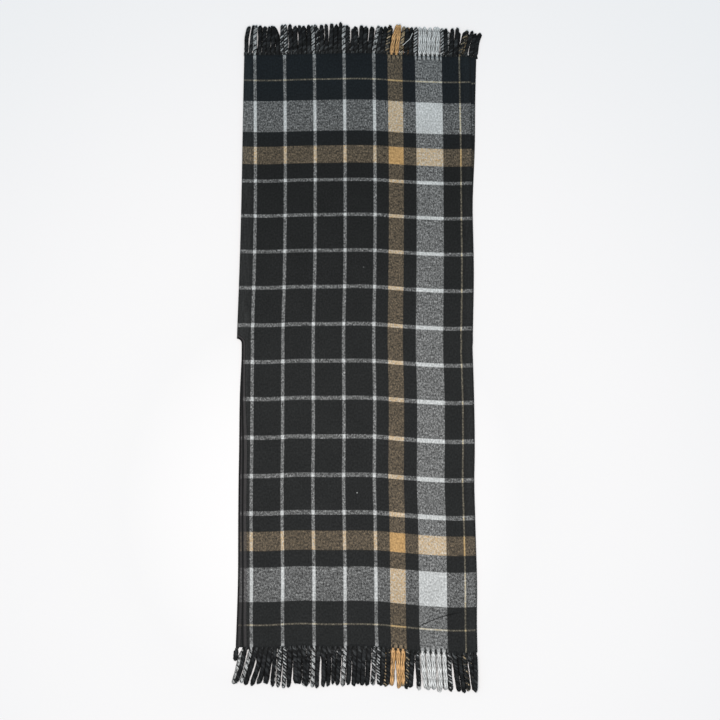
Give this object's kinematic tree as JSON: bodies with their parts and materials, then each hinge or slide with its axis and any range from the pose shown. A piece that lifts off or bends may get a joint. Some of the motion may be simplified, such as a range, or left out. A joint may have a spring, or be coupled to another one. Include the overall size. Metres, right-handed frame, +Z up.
{
  "type": "poncho",
  "caption": "Plaid woven poncho with fringed hems and a slit front, folded in half along its centre back and laid flat.",
  "frame": {"origin": "centre of the whole piece's outline, tassels included, on the surface that it lies on", "axes": "+Z up, +Y along the cloth towards the back hem, +X across from the centre back fold to the selvedges"},
  "size_m": [0.7, 1.873, 0.0083],
  "materials": {
    "plaid_cloth": "brushed twill plaid, matt",
    "fringe_yarn": "twisted soft yarn, matt"
  },
  "bodies": {
    "root": {"cloth": "plaid_cloth", "fringe_back_upper": "fringe_yarn", "fringe_back_lower": "fringe_yarn", "fringe_front_upper": "fringe_yarn", "fringe_front_lower": "fringe_yarn"}
  },
  "joints": []
}
